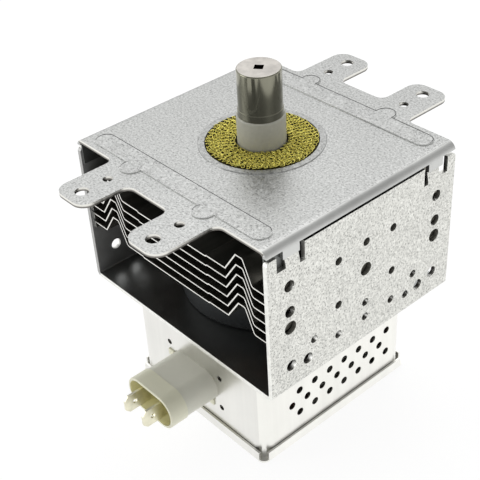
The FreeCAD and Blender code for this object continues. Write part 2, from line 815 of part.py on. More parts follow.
def make_anode():
    """Copper cylinder with its vanes, straps and two pole pieces."""
    seat = size("pole_thickness")
    revolve(new_body("anode_cylinder"), [
        (size("anode_radius"), anode_top), (size("anode_radius"), anode_bottom),
        (pole_seat_radius, anode_bottom), (pole_seat_radius, anode_bottom + seat),
        (anode_bore, anode_bottom + seat), (anode_bore, anode_top - seat),
        (pole_seat_radius, anode_top - seat), (pole_seat_radius, anode_top),
    ])
    upper = make_pole_piece("upper_pole_piece", anode_top, -1)
    passage = new_sketch(upper, "XY_Plane", anode_top)
    add_circle(passage, size("lead_offset"), 0, size("lead_hole_radius"))
    pocket(upper, passage)
    make_pole_piece("lower_pole_piece", anode_bottom, 1)

    vane = new_body("anode_vanes")
    blade = new_sketch(vane, "XZ_Plane")
    low = anode_middle - size("vane_height") / 2
    high = anode_middle + size("vane_height") / 2
    slot_depth = size("strap_depth")
    tip, far = size("vane_inner_radius"), vane_outer()
    add_loop(blade, [(tip, low)] + strap_notches(low, low + slot_depth) + [(far, low), (far, high)]
             + strap_notches(high, high - slot_depth)[::-1] + [(tip, high)])
    first = pad(vane, blade, size("vane_thickness"), symmetric=True)
    ring = vane.newObject("PartDesign::PolarPattern", "vane_ring")
    ring.Originals = [first]
    ring.Axis = (blade, ["V_Axis"])
    ring.Angle = 360
    bind(ring, "Occurrences", size("vane_count"))
    vane.Tip = ring
    doc.recompute()

    rings = []
    for bottom in (low, high - slot_depth):
        for radius in (size("inner_strap_radius"), size("outer_strap_radius")):
            strap = doc.addObject("Part::Cut", "strap")
            strap.Base = cylinder(radius + size("strap_width"), bottom, slot_depth)
            strap.Tool = cylinder(radius, bottom, slot_depth)
            rings.append(strap)
    straps = doc.addObject("Part::Compound", "straps")
    straps.Links = rings
    finish("strap_rings", straps)


def strap_notches(edge, depth):
    """Corners of the two notches in a vane's edge that the strap rings sit in."""
    corners = []
    for radius in (size("inner_strap_radius"), size("outer_strap_radius")):
        near = radius - size("strap_clearance")
        far = radius + size("strap_width") + size("strap_clearance")
        corners += [(near, edge), (near, depth), (far, depth), (far, edge)]
    return corners


def vane_outer():
    """Far end of a vane, just short of the round bore where its corners would dig in."""
    half = size("vane_thickness") / 2
    return root(anode_bore * anode_bore - half * half)


def make_cathode():
    """Filament between two end hats, its two leads, the stem and the stem's terminals."""
    low = anode_middle - filament_half
    high = anode_middle + filament_half
    wire = size("filament_wire_radius")
    helix = doc.addObject("Part::Helix", "filament_path")
    bind(helix, "Radius", size("filament_radius"))
    bind(helix, "Pitch", size("filament_pitch"))
    bind(helix, "Height", size("vane_height") - wire * 2)
    bind(helix, "Placement.Base.z", low + wire)
    section = doc.addObject("Part::Circle", "filament_section")
    section.Placement.Rotation = FreeCAD.Rotation(ACROSS, 90)
    bind(section, "Radius", wire)
    bind(section, "Placement.Base.x", size("filament_radius"))
    bind(section, "Placement.Base.z", low + wire)
    coil = doc.addObject("Part::Sweep", "filament_sweep")
    coil.Sections = [section]
    coil.Spine = (helix, [])
    coil.Solid = True
    coil.Frenet = True
    finish("filament", coil)

    hat = size("end_hat_thickness")
    lead = size("cathode_lead_radius")
    clearance = size("cathode_lead_clearance")
    finish("upper_end_hat", cylinder(size("end_hat_radius"), high, hat))
    lower = cylinder(size("end_hat_radius"), low - hat, hat)
    finish("lower_end_hat", drilled(lower, [(lead + clearance, 0, 0)]))
    finish("centre_lead", cylinder(lead, stem_bottom, high - stem_bottom))
    finish("side_lead", cylinder(lead, stem_bottom, low - hat - stem_bottom,
                                 x=size("side_lead_offset")))
    stem = cylinder(size("cup_radius"), stem_bottom, stem_cup_bottom - stem_bottom)
    finish("stem_ceramic", drilled(stem, [
        (lead + clearance, 0, 0), (lead + clearance, size("side_lead_offset"), 0)]))

    gap = size("stem_plate_gap")
    split = size("side_lead_offset") / 2
    reach = size("coil_offset") + size("coil_radius") + size("coil_wire_radius")
    width = size("stem_plate_half_width")
    for label, low_x, high_x in (("left_stem_terminal", capacitor_x - reach, split - gap / 2),
                                 ("right_stem_terminal", split + gap / 2, capacitor_x + reach)):
        body = new_body(label)
        outline = new_sketch(body, "XY_Plane", stem_bottom)
        add_box(outline, low_x, high_x, -width, width)
        pad(body, outline, size("stem_plate_thickness"), reverse=True)


def fold_shift(run, rise):
    """How far a fold moves sideways from one face of the sheet to the other."""
    return size("fin_thickness") * (root(run * run + rise * rise) - run) / rise


def fin_folds(top):
    """Folds of a cooling fin from left to right, as (x, z, shift) on its top face.

    The shift leads to the same fold on the other face. The centre is flat round the
    anode with a small step each side. Each wing rises in a gentle slope to a narrow
    hump and drops steeply back to the level of the wall end.
    """
    end = wall_inside - size("fin_wall_clearance")
    rise, step = size("fin_hump_rise"), size("fin_step_rise")
    gentle, steep = size("fin_gentle_run"), size("fin_steep_run")
    hump = size("fin_hump_flat")
    wing = size("fin_wing_offset")
    thickness = size("fin_thickness")
    small = fold_shift(size("fin_step_run"), step)
    slow, fast = fold_shift(gentle, rise), fold_shift(steep, rise + wing)
    left, right = -size("fin_left_fold"), size("fin_right_fold")
    step_x, step_run = size("fin_step_offset"), size("fin_step_run")
    return {
        "left_end": (-end, top + wing, thickness),
        "left_slope": (left, top + wing, slow),
        "left_hump": (left + gentle, top + wing + rise, slow),
        "left_drop": (left + gentle + hump, top + wing + rise, -fast),
        "left_foot": (left + gentle + hump + steep, top, -fast),
        "left_step": (-step_x, top, -small),
        "left_centre": (step_run - step_x, top - step, -small),
        "right_centre": (step_x, top - step, small),
        "right_step": (step_x + step_run, top, small),
        "right_slope": (right, top, slow),
        "right_hump": (right + gentle, top + rise, slow),
        "right_drop": (right + gentle + hump, top + rise, -fast),
        "right_foot": (right + gentle + hump + steep, top - wing, -fast),
        "right_end": (end, top - wing, -thickness),
    }


def fin_outline(folds):
    """Closed section of a fin with its two turned-down ends."""
    thickness, depth = size("fin_thickness"), size("fin_edge_depth")
    upper = [(x, z) for x, z, shift in folds.values()]
    lower = [(x + shift, z - thickness) for x, z, shift in folds.values()]
    (left, left_top), (right, right_top) = upper[0], upper[-1]
    left_edge = [(left + thickness, left_top - depth), (left, left_top - depth)]
    right_edge = [(right, right_top - depth), (right - thickness, right_top - depth)]
    return upper + right_edge + lower[::-1] + left_edge


def round_folds(body, folds):
    """Rounds the steep side of each hump, where the sheet is drawn over the tool."""
    thickness = size("fin_thickness")
    fold, foot = size("fin_fold_radius"), size("fin_foot_radius")
    for name, above, below in (("left_drop", fold, fold - thickness),
                               ("right_drop", fold, fold - thickness),
                               ("left_foot", foot - thickness, foot),
                               ("right_foot", foot - thickness, foot)):
        x, z, shift = folds[name]
        fillet(body, straight_edges(body.Tip, ALONG, [(x, z)]), above)
        fillet(body, straight_edges(body.Tip, ALONG, [(x + shift, z - thickness)]), below)


def make_fins():
    """Folded aluminium fins pressed over the anode, all of one section."""
    bore = size("anode_radius") + size("fin_fit")
    clearance = size("fin_magnet_clearance")
    relief_floor = upper_magnet_bottom - clearance
    for number in range(SIZES["fin_count"]):
        body = new_body(f"cooling_fin_{number + 1}")
        top = -size("fin_top_drop") - size("fin_pitch") * number
        folds = fin_folds(top)
        profile = new_sketch(body, "XZ_Plane")
        add_loop(profile, fin_outline(folds))
        pad(body, profile, size("fin_length"), symmetric=True)
        round_folds(body, folds)
        collar_low = top - size("fin_thickness") - size("fin_collar_height")
        collar = new_sketch(body, "XY_Plane", collar_low)
        add_circle(collar, 0, 0, bore + size("fin_collar_wall"))
        pad(body, collar, size("fin_collar_height") + size("fin_thickness") / 2)
        passage = new_sketch(body, "XY_Plane", collar_low)
        add_circle(passage, 0, 0, bore)
        pocket(body, passage, size("fin_pitch") + size("fin_collar_height"), reverse=True)
        hump_top = top + size("fin_hump_rise")
        if hump_top.value > relief_floor.value:
            relief = new_sketch(body, "XY_Plane", relief_floor)
            add_circle(relief, 0, 0, size("magnet_radius") + clearance)
            pocket(body, relief, size("magnet_thickness"), reverse=True)


def make_filter_box():
    """Drawn box under the frame, with its vents, its opening and its push-on lid."""
    body = new_body("filter_box")
    across, along = size("box_half_across"), size("box_half_along")
    sheet_thickness = size("box_sheet")
    outline = new_sketch(body, "XY_Plane", floor_under)
    add_box(outline, -across, across, -along, along)
    pad(body, outline, size("box_depth"), reverse=True)
    hollow = new_sketch(body, "XY_Plane", floor_under - sheet_thickness)
    inner_x, inner_y = across - sheet_thickness, along - sheet_thickness
    add_box(hollow, -inner_x, inner_x, -inner_y, inner_y)
    pocket(body, hollow, size("box_depth"))
    fillet(body, straight_edges(body.Tip, UP, corners_of(inner_x, inner_y)),
           size("box_corner_radius") - sheet_thickness)
    fillet(body, straight_edges(body.Tip, UP, corners_of(across, along)),
           size("box_corner_radius"))

    opening = new_sketch(body, "XY_Plane", floor_under)
    add_circle(opening, 0, 0, size("stem_hole_radius"))
    pocket(body, opening, sheet_thickness * 2)

    vents = new_sketch(body, "YZ_Plane")
    for row_number in range(SIZES["vent_rows"]):
        z = -size("vent_top_row_drop") - size("vent_row_pitch") * row_number
        start = -size("vent_start") - size("vent_pitch") * (row_number % 2) / 2
        for column in range(SIZES["vent_columns"]):
            add_circle(vents, start + size("vent_pitch") * column, z, size("vent_diameter") / 2)
    pocket(body, vents, across * 3, symmetric=True)

    front = new_sketch(body, "XZ_Plane", along + sheet_thickness)
    add_box(front, capacitor_x - throat_x, capacitor_x + throat_x,
            capacitor_z - throat_z, capacitor_z + throat_z)
    for x, z in rivet_places():
        add_circle(front, x, z, size("rivet_hole_diameter") / 2)
    pocket(body, front, sheet_thickness * 3)

    lid = new_body("filter_lid")
    lid_sheet, clearance = size("lid_sheet"), size("lid_clearance")
    base = new_sketch(lid, "XY_Plane", box_bottom - lid_sheet)
    outer_x, outer_y = across + clearance + lid_sheet, along + clearance + lid_sheet
    add_box(base, -outer_x, outer_x, -outer_y, outer_y)
    pad(lid, base, size("lid_rim_height"))
    tray = new_sketch(lid, "XY_Plane", box_bottom)
    add_box(tray, -across - clearance, across + clearance, -along - clearance, along + clearance)
    pocket(lid, tray, size("lid_rim_height"), reverse=True)
    gaps = new_sketch(lid, "XY_Plane", box_bottom)
    gap = size("lid_corner_gap")
    for x_side in SIDES:
        for y_side in SIDES:
            add_box(gaps, (outer_x - gap) * x_side, (outer_x + gap) * x_side,
                    (outer_y - gap) * y_side, (outer_y + gap) * y_side)
    pocket(lid, gaps, size("lid_rim_height"), reverse=True)
    fillet(lid, straight_edges(lid.Tip, UP, corners_of(outer_x, outer_y)), gap)


def rivet_places():
    """Centres of the four small holes round the capacitor, as (x, z)."""
    half_x, half_z = size("rivet_spacing_half_width"), size("rivet_spacing_half_height")
    return [(capacitor_x + half_x * side, capacitor_z + half_z * end)
            for side in SIDES for end in SIDES]


def capacitor_block(body, half_x, half_z, front, length):
    """A block about the capacitor's axis that runs back from its front face.

    It gives back the places of its four long edges, as (x, z).
    """
    sketch = new_sketch(body, "XZ_Plane", -front)
    add_box(sketch, capacitor_x - half_x, capacitor_x + half_x,
            capacitor_z - half_z, capacitor_z + half_z)
    pad(body, sketch, length, reverse=True)
    return [(capacitor_x + half_x * side, capacitor_z + half_z * end)
            for side in SIDES for end in SIDES]


def make_capacitor():
    """Feed-through capacitor: insulating boot, resin block, flange plate and two tabs."""
    half_x, half_z = size("boot_half_width"), size("boot_half_height")
    radius, wall = size("boot_corner_radius"), size("boot_wall")
    boot = new_body("capacitor_boot")
    step = size("boot_collar_step")
    rear_x, rear_z = half_x - step, half_z - step
    inside_x, inside_z = half_x - wall, half_z - wall
    outer_edges = capacitor_block(boot, rear_x, rear_z, boot_mouth, size("boot_length"))
    outer_edges += capacitor_block(boot, half_x, half_z, boot_mouth, size("boot_collar_length"))
    bore = new_sketch(boot, "XZ_Plane", -boot_mouth)
    add_box(bore, capacitor_x - inside_x, capacitor_x + inside_x,
            capacitor_z - inside_z, capacitor_z + inside_z)
    pocket(boot, bore)
    inner_edges = [(capacitor_x + inside_x * side, capacitor_z + inside_z * end)
                   for side in SIDES for end in SIDES]
    fillet(boot, straight_edges(boot.Tip, ALONG, inner_edges), radius - wall)
    fillet(boot, straight_edges(boot.Tip, ALONG, outer_edges[:4]), radius - step)
    fillet(boot, straight_edges(boot.Tip, ALONG, outer_edges[4:]), radius)
    rim = [(boot_mouth, capacitor_z + half_z), (boot_mouth, capacitor_z - half_z)]
    fillet(boot, straight_edges(boot.Tip, ACROSS, rim), size("boot_rim_radius"))

    resin = new_body("capacitor_body")
    core_x = inside_x - size("boot_fit")
    core_z = inside_z - size("boot_fit")
    edges = capacitor_block(resin, core_x, core_z, socket_floor, box_front - socket_floor)
    fillet(resin, straight_edges(resin.Tip, ALONG, edges), radius - wall - size("boot_fit"))
    capacitor_block(resin, throat_x - size("boot_fit"), throat_z - size("boot_fit"),
                    box_front, capacitor_back - box_front)

    plate = new_body("capacitor_flange")
    plate_x, plate_z = size("flange_plate_half_width"), size("flange_plate_half_height")
    capacitor_block(plate, plate_x, plate_z, box_inside_front, size("flange_plate_thickness"))
    opening = new_sketch(plate, "XZ_Plane", -box_inside_front)
    add_box(opening, capacitor_x - throat_x, capacitor_x + throat_x,
            capacitor_z - throat_z, capacitor_z + throat_z)
    pocket(plate, opening)

    tab_tip = boot_mouth - size("tab_proud")
    half_tab, tip = size("tab_width") / 2, size("tab_tip_chamfer")
    for label, side in (("left_terminal_tab", -1), ("right_terminal_tab", 1)):
        tab = new_body(label)
        x = capacitor_x + size("tab_spacing") / 2 * side
        blade = new_sketch(tab, "YZ_Plane", x - size("tab_thickness") / 2)
        add_loop(blade, [
            (socket_floor, capacitor_z - half_tab), (tab_tip + tip, capacitor_z - half_tab),
            (tab_tip, capacitor_z - half_tab + tip), (tab_tip, capacitor_z + half_tab - tip),
            (tab_tip + tip, capacitor_z + half_tab), (socket_floor, capacitor_z + half_tab),
        ])
        add_circle(blade, tab_tip + size("tab_hole_setback"), capacitor_z,
                   size("tab_hole_diameter") / 2)
        pad(tab, blade, size("tab_thickness"))


def make_chokes():
    """Two choke coils on ferrite rods, from the capacitor to the stem's terminals."""
    radius, wire = size("coil_radius"), size("coil_wire_radius")
    front = -size("coil_front")
    length = size("coil_pitch") * size("coil_turns")
    back = front + length
    stem_face = stem_bottom - size("stem_plate_thickness")
    for name, side, hand, turn in (("left", -1, "Right-handed", 180),
                                   ("right", 1, "Left-handed", 0)):
        axis_x = capacitor_x + size("coil_offset") * side
        wire_x = axis_x + radius * side
        path = doc.addObject("Part::Helix", f"{name}_coil_path")
        path.Placement.Rotation = FreeCAD.Rotation(ACROSS, -90) * FreeCAD.Rotation(UP, turn)
        path.LocalCoord = hand
        bind(path, "Radius", radius)
        bind(path, "Pitch", size("coil_pitch"))
        bind(path, "Height", length)
        bind(path, "Placement.Base.x", axis_x)
        bind(path, "Placement.Base.y", front)
        bind(path, "Placement.Base.z", capacitor_z)
        section = doc.addObject("Part::Circle", f"{name}_coil_section")
        bind(section, "Radius", wire)
        bind(section, "Placement.Base.x", wire_x)
        bind(section, "Placement.Base.y", front)
        bind(section, "Placement.Base.z", capacitor_z)
        winding = doc.addObject("Part::Sweep", f"{name}_coil_winding")
        winding.Sections = [section]
        winding.Spine = (path, [])
        winding.Solid = True
        winding.Frenet = True
        front_lead = rod_along_y(wire, capacitor_back, front - capacitor_back, wire_x, capacitor_z)
        rear_lead = cylinder(wire, capacitor_z, stem_face - capacitor_z, x=wire_x, y=back)
        joined = doc.addObject("Part::MultiFuse", f"{name}_coil_joined")
        joined.Shapes = [winding, front_lead, rear_lead]
        finish(f"{name}_choke_coil", joined)
        rod_front = (front + back) / 2 - size("ferrite_length") / 2
        finish(f"{name}_ferrite_rod",
               rod_along_y(size("ferrite_radius"), rod_front, size("ferrite_length"),
                           axis_x, capacitor_z))


def check_model():
    """Stops before anything is written if a feature failed or a sub-part is not sound."""
    doc.recompute()
    for item in doc.Objects:
        if "Invalid" in item.State or "Error" in item.State:
            raise RuntimeError(f"{item.Label} did not build: {item.State}")
    for label, item in pieces.items():
        if item.Shape.isNull() or not item.Shape.isValid():
            raise RuntimeError(f"{label} has no valid shape")
        if not item.Shape.Solids:
            raise RuntimeError(f"{label} has no solid")


make_fixing_plate()
make_yoke_frame()
make_gasket()
make_antenna()
make_magnets()
make_seal_cups()
make_anode()
make_cathode()
make_fins()
make_filter_box()
make_capacitor()
make_chokes()
check_model()

os.makedirs("parts", exist_ok=True)
for label, item in pieces.items():
    item.Shape.exportStep(f"parts/{label}.step")
print(f"{len(pieces)} sub-parts written")
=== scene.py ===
"""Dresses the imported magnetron: metal finishes, knitted gasket, studio, light and camera."""

import math
import random

import bpy
from mathutils import Matrix, Vector


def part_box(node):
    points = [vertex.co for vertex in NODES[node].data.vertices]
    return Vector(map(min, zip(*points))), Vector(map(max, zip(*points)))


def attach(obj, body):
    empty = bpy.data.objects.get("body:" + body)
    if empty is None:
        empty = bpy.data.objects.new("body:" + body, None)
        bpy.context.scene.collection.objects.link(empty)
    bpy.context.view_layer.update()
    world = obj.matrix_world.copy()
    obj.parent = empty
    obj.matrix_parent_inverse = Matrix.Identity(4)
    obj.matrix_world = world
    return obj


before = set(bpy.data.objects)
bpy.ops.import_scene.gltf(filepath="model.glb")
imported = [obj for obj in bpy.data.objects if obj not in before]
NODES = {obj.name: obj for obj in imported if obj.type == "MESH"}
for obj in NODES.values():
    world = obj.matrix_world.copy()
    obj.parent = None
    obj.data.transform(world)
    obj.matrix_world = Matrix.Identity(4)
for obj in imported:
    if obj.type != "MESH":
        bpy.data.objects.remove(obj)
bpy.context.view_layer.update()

MM = 0.001

# The camera that the photograph was taken with, in the frame of the part
CAMERA_AZIMUTH = 50.341
CAMERA_ELEVATION = 35.879
CAMERA_ROLL = -3.663
CAMERA_PLACE = Vector((198.027, -174.95, 155.48)) * MM
CAMERA_NEAREST = 10 * MM
SENSOR_WIDTH = 36.0
FOCAL_LENGTH = 78.14

# Corners of the solids, from the frame
PLATE_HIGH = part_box("yoke_top")[1]
FRAME_LOW, FRAME_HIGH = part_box("yoke_frame")
GASKET_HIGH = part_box("rf_gasket")[1]
BOX_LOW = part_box("filter_box")[0]
BOOT_LOW, BOOT_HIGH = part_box("capacitor_boot")
LID_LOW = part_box("filter_lid")[0]

# Where the finishes of the yoke change, and with them its painted shade and light
SHEET = 1.4 * MM
FLOOR_TOP = FRAME_LOW.z + SHEET
WALL_INSIDE = FRAME_HIGH.x - SHEET
WALL_TOPS = FRAME_HIGH.z - 7 * MM
WALL_MIDDLE = 24 * MM
PLATE_UNDERSIDE = -1 * MM
PLATE_RAISED = 0.02 * MM
COLLAR_RADIUS = 19.2 * MM
FLANGE_INSIDE = PLATE_HIGH.x - 1.3 * MM
BEND_START = PLATE_HIGH.x - 3 * MM
FACE_MARGIN = 0.3 * MM

# Where the cut edges of the sheet turn from torn, and darkened as painted shade, to clean
PLATE_TORN_AND_SHADE = 0.85 * MM
PLATE_CLEAN = 0.5 * MM
WALL_TORN_AND_SHADE = WALL_INSIDE + 0.35 * MM

# A face looks along an axis when its normal has more than this share along it
FACING = 0.5
FACING_SQUARELY = 0.9
FACING_AT_BEND = 0.3

BOOT_COLLAR_LENGTH = 6.3 * MM
FIN_COUNT = 6

# Beads of the plate, with a round lobe at each of the four small holes
BEAD_END = 37.0 * MM
BEAD_RADIUS = 3.2 * MM
BEAD_INNER = 28.6 * MM
BEAD_OUTER = 35.2 * MM
BEAD_TOP = 0.35 * MM
LOBE_X = 16.0 * MM
LOBE_Y = 35.9 * MM
LOBE_RADIUS = 3.4 * MM

# Painted shadows round the beads, dark wires that stand in for the shade at the bead steps; their
# arcs begin and end at these angles, in degrees
PAINTED_SHADOW_INSET = 0.3 * MM
PAINTED_SHADOW_WIDTH = 0.26 * MM
PAINTED_SHADOW_STEPS = 14
PAINTED_SHADOW_TIP = 0.3
PAINTED_SHADOW_GROWTH = 0.1
FRONT_START, FRONT_END = 235, 40
BACK_START, BACK_END = 200, -20
BACK_LOBE_START, BACK_LOBE_END = 195, -15
FRONT_LOBE_START, FRONT_LOBE_END = 150, 225
BEAD_SIDE_ANGLE = 90

# Turned ends of the plate's flanges, behind the notches of the walls
FOLD_INNER = WALL_INSIDE - 0.5 * MM
FOLD_OUTER = WALL_INSIDE - 0.05 * MM
FOLD_FRONT = -36.9 * MM
FOLD_END = -30.7 * MM
FOLD_LOW = -8.6 * MM
FOLD_HIGH = -1.5 * MM
FOLD_ROUNDING = 0.1 * MM

# Lugs of the boot's flange: the middle of each one on the front of the filter box
BOOT_LUGS = {
    "upper_boot_lug": (-12.6 * MM, -71.0 * MM),
    "lower_boot_lug": (6.2 * MM, -79.2 * MM),
}
LUG_HALF_WIDTH = 1.5 * MM
LUG_HALF_HEIGHT = 1.3 * MM
LUG_PROUD = 0.5 * MM
LUG_SUNK = 0.1 * MM
LUG_ROUNDING = 0.35 * MM

# Knit of the gasket
GASKET_INNER = 7.6 * MM
KNIT_SEED = 7
KNIT_ROWS = 10
KNIT_STITCH = 1.6 * MM
KNIT_WIRE = 0.105 * MM
KNIT_POINTS = 12
KNIT_MARGIN = 0.9 * MM
KNIT_HEIGHT = 0.3 * MM

# Random ranges of its loops: reach and shift in rows, lift, and bulge in stitches
LOOP_REACH = (0.6, 1.25)
LOOP_SHIFT = (-0.5, 0.5)
LOOP_LIFT = (0.1 * MM, 0.35 * MM)
LOOP_BULGE = (0.1, 0.45)

# Shares of plain white in the floor, as the camera sees it and as the metal mirrors it
FLOOR_WHITE_SEEN = 0.80
FLOOR_WHITE_MIRRORED = 0.95
FLOOR_WHITE = 1.1
FLOOR_COLOUR = (0.9, 0.9, 0.9)
FLOOR_ROUGHNESS = 0.9
FLOOR_HALF = 4.0

WORLD_LEVEL = 0.95
LIGHT_POWER = 2.0

# Ranges that nearly all values of a noise lie in, the narrower ones for finer contrast
NOISE_RANGE = (0.3, 0.7)
GRAIN_RANGE = (0.35, 0.65)
FLECK_RANGE = (0.33, 0.45)

# Stretches of a noise into lines, as factors along X, Y and Z
LINES_UP = (1, 1, 0.03)
LINES_ALONG = (1, 0.04, 1)
LINES_ROUND = (1, 1, 0.04)

# Corner numbers of the six sides of a block, and the steps of its rounded edges
BOX_SIDES = ((0, 1, 3, 2), (4, 6, 7, 5), (0, 4, 5, 1), (2, 3, 7, 6), (0, 2, 6, 4), (1, 5, 7, 3))
BEVEL_SEGMENTS = 3


# Helpers


def add_node(tree, kind, **settings):
    made = tree.nodes.new(kind)
    for key, value in settings.items():
        setattr(made, key, value)
    return made


def add_object(name, data):
    """A new object of this name, in the scene."""
    made = bpy.data.objects.new(name, data)
    bpy.context.scene.collection.objects.link(made)
    return made


def toward(azimuth, elevation):
    """Unit vector for a direction; azimuth 0 is -Y and turns towards +X, in degrees."""
    around = math.radians(azimuth)
    above = math.radians(elevation)
    return Vector((math.sin(around) * math.cos(above), -math.cos(around) * math.cos(above),
                   math.sin(above)))


class Shader:
    """A new material with its principled shader and a few shortcuts for wiring nodes."""

    def __init__(self, name, colour, metallic=0.0):
        self.material = bpy.data.materials.new(name)
        self.material.use_nodes = True
        self.tree = self.material.node_tree
        self.bsdf = self.tree.nodes["Principled BSDF"]
        self.bsdf.inputs["Base Color"].default_value = (*colour, 1)
        self.bsdf.inputs["Metallic"].default_value = metallic
        self.material.diffuse_color = (*colour, 1)
        self.coordinates = self.node("ShaderNodeTexCoord").outputs["Object"]

    def node(self, kind, **settings):
        return add_node(self.tree, kind, **settings)

    def link(self, output, target):
        self.tree.links.new(output, target)

    def stretched(self, scale):
        """Object coordinates multiplied by one factor for each axis."""
        mapping = self.node("ShaderNodeMapping")
        mapping.inputs["Scale"].default_value = scale
        self.link(self.coordinates, mapping.inputs["Vector"])
        return mapping.outputs["Vector"]

    def noise(self, scale, detail, roughness=0.5, vector=None):
        made = self.node("ShaderNodeTexNoise")
        made.inputs["Scale"].default_value = scale
        made.inputs["Detail"].default_value = detail
        made.inputs["Roughness"].default_value = roughness
        self.link(vector or self.coordinates, made.inputs["Vector"])
        return made.outputs["Fac"]

    def cells(self, scale):
        """One random grey for each crystal of a cell pattern."""
        made = self.node("ShaderNodeTexVoronoi")
        made.inputs["Scale"].default_value = scale
        self.link(self.coordinates, made.inputs["Vector"])
        grey = self.node("ShaderNodeSeparateColor")
        self.link(made.outputs["Color"], grey.inputs["Color"])
        return grey.outputs["Red"]

    def spread(self, value, low, high, source=(0.0, 1.0)):
        """Maps a value from its source range to a new one and keeps it there."""
        made = self.node("ShaderNodeMapRange")
        made.inputs["From Min"].default_value = source[0]
        made.inputs["From Max"].default_value = source[1]
        made.inputs["To Min"].default_value = low
        made.inputs["To Max"].default_value = high
        self.link(value, made.inputs["Value"])
        return made.outputs["Result"]

    def times(self, first, second):
        made = self.node("ShaderNodeMath", operation="MULTIPLY")
        self.link(first, made.inputs[0])
        self.link(second, made.inputs[1])
        return made.outputs["Value"]

    def tint(self, amount, colour):
        """Multiplies a colour by a grey amount and uses it as the base colour."""
        made = self.node("ShaderNodeVectorMath", operation="SCALE")
        made.inputs[0].default_value = colour
        self.link(amount, made.inputs["Scale"])
        self.link(made.outputs["Vector"], self.bsdf.inputs["Base Color"])

    def blend(self, amount, first, second):
        """Base colour that goes from the first to the second with the amount."""
        made = self.node("ShaderNodeMix", data_type="RGBA")
        made.inputs["A"].default_value = (*first, 1)
        made.inputs["B"].default_value = (*second, 1)
        self.link(amount, made.inputs["Factor"])
        self.link(made.outputs["Result"], self.bsdf.inputs["Base Color"])

    def bump(self, height, distance):
        made = self.node("ShaderNodeBump")
        made.inputs["Distance"].default_value = distance
        made.inputs["Strength"].default_value = 1.0
        self.link(height, made.inputs["Height"])
        self.link(made.outputs["Normal"], self.bsdf.inputs["Normal"])

    def rough(self, value, low, high):
        self.link(self.spread(value, low, high), self.bsdf.inputs["Roughness"])


# Finishes


def zinc_sheet(name, colour, fleck, low, high):
    """Zinc-coated steel: a faint cloud, a fine grain and small dark flecks."""
    made = Shader(name, colour, metallic=1.0)
    cloud = made.spread(made.noise(scale=60, detail=3), 0.97, 1.03, NOISE_RANGE)
    fine = made.noise(scale=1400, detail=3, roughness=0.7)
    grain = made.spread(fine, 0.78, 1.2, GRAIN_RANGE)
    marks = made.noise(scale=1800, detail=2)
    flecks = made.spread(marks, 1 - fleck, 1.0, FLECK_RANGE)
    made.tint(made.times(made.times(cloud, grain), flecks), colour)
    made.rough(made.cells(scale=900), low, high)
    made.bump(made.noise(scale=1500, detail=2), distance=0.03 * MM)
    return made.material


def cut_edge(name, colour):
    """The sheared edge of a sheet, with fine lines across it."""
    made = Shader(name, colour, metallic=1.0)
    lines = made.noise(scale=900, detail=2)
    made.tint(made.spread(lines, 0.88, 1.05, NOISE_RANGE), colour)
    made.rough(lines, low=0.3, high=0.5)
    return made.material


def punched_edge(name, colour, torn_and_shade, axis, torn_and_shade_at, clean_at):
    """Cut edge: bright where the punch slid past, dark where the sheet tore, and that dark band is
    also painted shade.
    """
    made = Shader(name, colour, metallic=1.0)
    place = made.node("ShaderNodeSeparateXYZ")
    made.link(made.coordinates, place.inputs["Vector"])
    depth = made.node("ShaderNodeMath", operation="ABSOLUTE")
    made.link(place.outputs[axis], depth.inputs[0])
    clean = made.spread(depth.outputs["Value"], 0.0, 1.0, (torn_and_shade_at, clean_at))
    made.blend(clean, torn_and_shade, colour)
    made.rough(made.noise(scale=900, detail=2), low=0.3, high=0.5)
    return made.material


def soft_zinc(name, colour):
    """The drawn sides of the beads, pale and dull: a colour of painted light that lets them shade
    like the flat sheet round them.
    """
    made = Shader(name, colour)
    grain = made.noise(scale=1500, detail=3, roughness=0.7)
    made.tint(made.spread(grain, 0.9, 1.1, GRAIN_RANGE), colour)
    made.rough(grain, low=0.6, high=0.8)
    return made.material


def zinc_painted_shade_and_light(name, colour, low, high):
    """Smoother zinc sheet whose colour is painted shade inside the yoke and behind the notches, and
    painted light on the right flange's bend.
    """
    made = Shader(name, colour, metallic=1.0)
    cloud = made.noise(scale=60, detail=4)
    made.tint(made.spread(cloud, 0.85, 1.15, NOISE_RANGE), colour)
    made.rough(made.noise(scale=250, detail=3), low, high)
    return made.material


def bright_tin(name, colour):
    """Tin-plated sheet with faint drawing lines that run up and down."""
    made = Shader(name, colour, metallic=1.0)
    streaks = made.noise(scale=300, detail=3, vector=made.stretched(LINES_UP))
    cloud = made.noise(scale=40, detail=3)
    shade = made.times(made.spread(streaks, 0.96, 1.03, NOISE_RANGE),
                       made.spread(cloud, 0.96, 1.03, NOISE_RANGE))
    made.tint(shade, colour)
    made.rough(streaks, low=0.24, high=0.36)
    made.bump(streaks, distance=0.015 * MM)
    return made.material


def rolled_aluminium(name, colour):
    """Fin stock with fine rolling lines along the air flow."""
    made = Shader(name, colour, metallic=1.0)
    lines = made.noise(scale=500, detail=3, vector=made.stretched(LINES_ALONG))
    made.tint(made.spread(lines, 0.85, 1.15, NOISE_RANGE), colour)
    made.rough(lines, low=0.3, high=0.45)
    made.bump(lines, distance=0.01 * MM)
    return made.material


def drawn_steel(name, colour):
    """Stainless steel with turning lines round its axis."""
    made = Shader(name, colour, metallic=1.0)
    lines = made.noise(scale=700, detail=3, vector=made.stretched(LINES_ROUND))
    made.tint(made.spread(lines, 0.9, 1.06, NOISE_RANGE), colour)
    made.rough(lines, low=0.09, high=0.17)
    tangent = made.node("ShaderNodeTangent", direction_type="RADIAL", axis="Z")
    made.link(tangent.outputs["Tangent"], made.bsdf.inputs["Tangent"])
    made.bsdf.inputs["Anisotropic"].default_value = 0.3
    made.bsdf.inputs["Anisotropic Rotation"].default_value = 0.25
    return made.material


